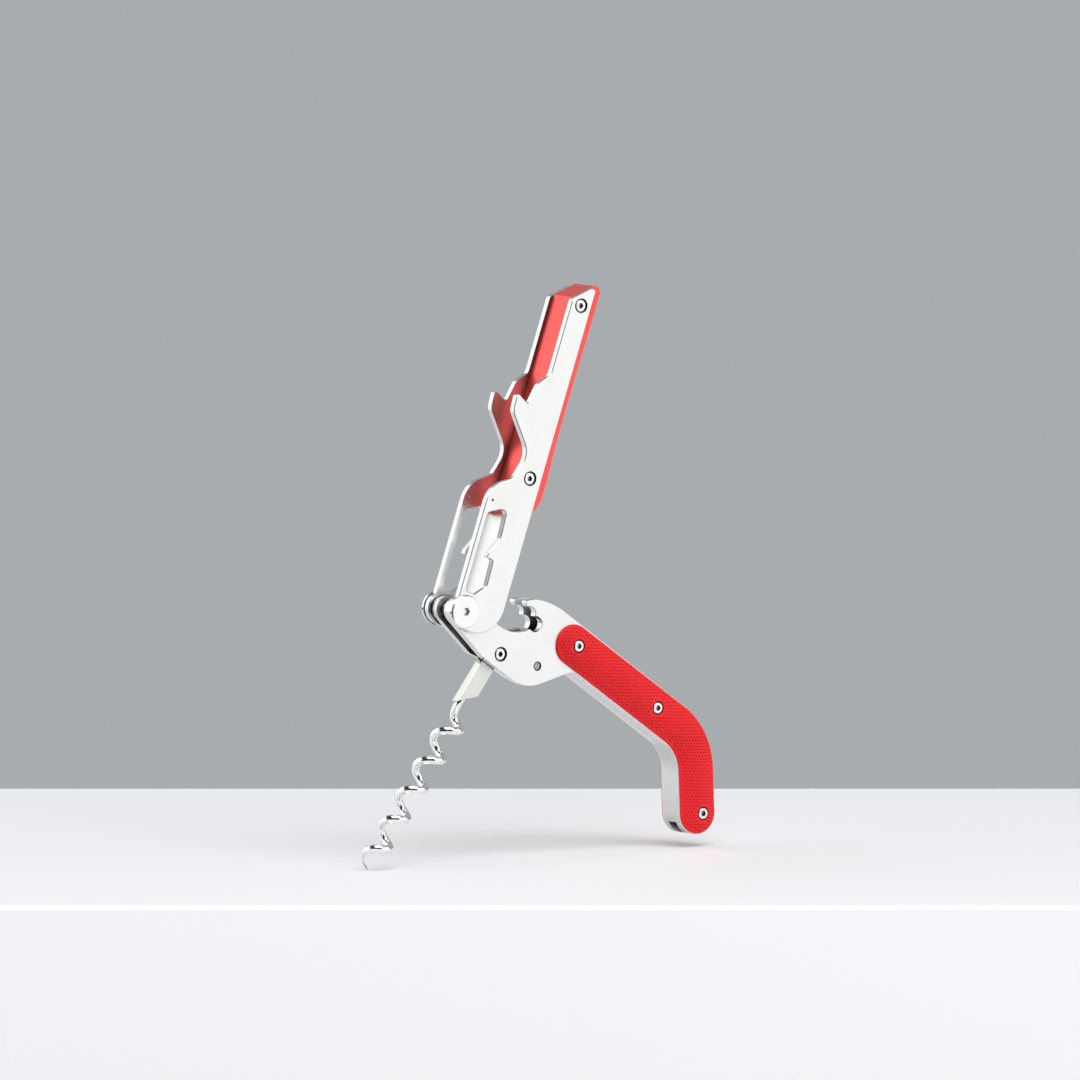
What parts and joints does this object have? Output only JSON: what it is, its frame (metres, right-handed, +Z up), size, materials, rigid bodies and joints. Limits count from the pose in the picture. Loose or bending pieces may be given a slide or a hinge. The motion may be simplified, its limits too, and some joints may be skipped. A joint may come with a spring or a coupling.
{
  "type": "waiters corkscrew",
  "caption": "Folding corkscrew with a curved two-plate handle, a hinged lever with lip rests and cap lifter, a hooked foil jaw and a fold-out helical worm.",
  "frame": {"origin": "centre of the open corkscrew's bounding box, on the mid-plane between its plates; the lever pivot is at x -31.5 mm, z -9 mm", "axes": "+X from the lever pivot towards the handle, +Y through the plates from the front to the rear, +Z up towards the raised lever"},
  "size_m": [0.1264, 0.0166, 0.1735],
  "materials": {
    "plate_steel": "satin",
    "lever_steel": "satin",
    "spacer_steel": "satin",
    "grip_red": "satin red anodised, dimpled",
    "spine_red": "satin red anodised",
    "screw_steel": "polished",
    "head_steel": "polished",
    "pivot_steel": "ground",
    "pin_steel": "ground",
    "washer_bronze": "plain",
    "shank_steel": "satin face, polished edges",
    "worm_steel": "polished",
    "leaf_steel": "spring steel"
  },
  "bodies": {
    "body": {"body_plate_front": "plate_steel", "body_plate_rear": "plate_steel", "handle_spacer": "spacer_steel", "grip_front": "grip_red", "grip_rear": "grip_red", "grip_screws": "screw_steel", "pivot_barrel": "pivot_steel", "pivot_head_front": "head_steel", "pivot_head_rear": "head_steel", "pivot_washer_front": "washer_bronze", "pivot_washer_rear": "washer_bronze", "worm_pivot_barrel": "pivot_steel", "worm_pivot_screws": "screw_steel", "worm_washer_front": "washer_bronze", "worm_washer_rear": "washer_bronze", "fold_stop_pin": "pin_steel", "friction_leaf": "leaf_steel"},
    "lever": {"lever_plate_front": "lever_steel", "lever_plate_rear": "lever_steel", "lever_spine": "spine_red", "lever_screws": "screw_steel", "lever_stop_pin": "pin_steel"},
    "worm": {"worm_shank": "shank_steel", "worm_helix": "worm_steel"}
  },
  "joints": [
    {"name": "lever_hinge", "type": "hinge", "parent": "body", "child": "lever", "pos_m": [-0.0315, 0, -0.009], "axis": [0, -1, 0], "range_deg": [0, 172]},
    {"name": "worm_hinge", "type": "hinge", "parent": "body", "child": "worm", "pos_m": [-0.0161, 0, -0.0231], "axis": [0, -1, 0], "range_deg": [0, 86]}
  ]
}
